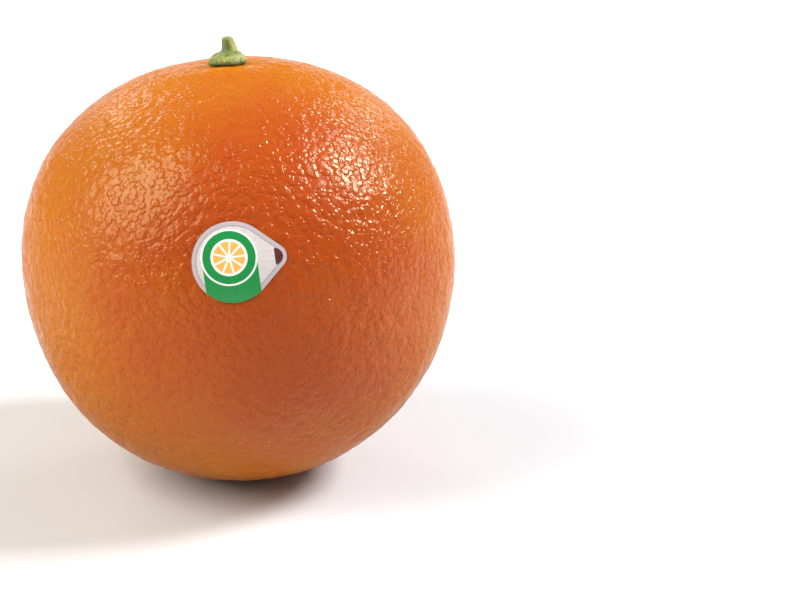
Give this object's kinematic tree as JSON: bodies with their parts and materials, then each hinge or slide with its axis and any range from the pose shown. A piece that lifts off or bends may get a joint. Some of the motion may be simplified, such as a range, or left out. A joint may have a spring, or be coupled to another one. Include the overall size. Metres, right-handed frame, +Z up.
{
  "type": "orange fruit",
  "caption": "Whole ripe orange with a green stem button and a small fruit sticker, standing on a small flat spot under its blossom end.",
  "frame": {"origin": "middle of the small flat spot that the fruit stands on, on the resting surface", "axes": "+Z up towards the stem button, -Y towards the side that carries the fruit sticker, +X the way the sticker's tip points"},
  "size_m": [0.086, 0.0863, 0.0893],
  "materials": {
    "peel": "satin",
    "stem": "matte",
    "sticker": "gloss"
  },
  "bodies": {
    "root": {"orange_fruit": "peel", "stem_button": "stem", "fruit_sticker": "sticker"}
  },
  "joints": []
}
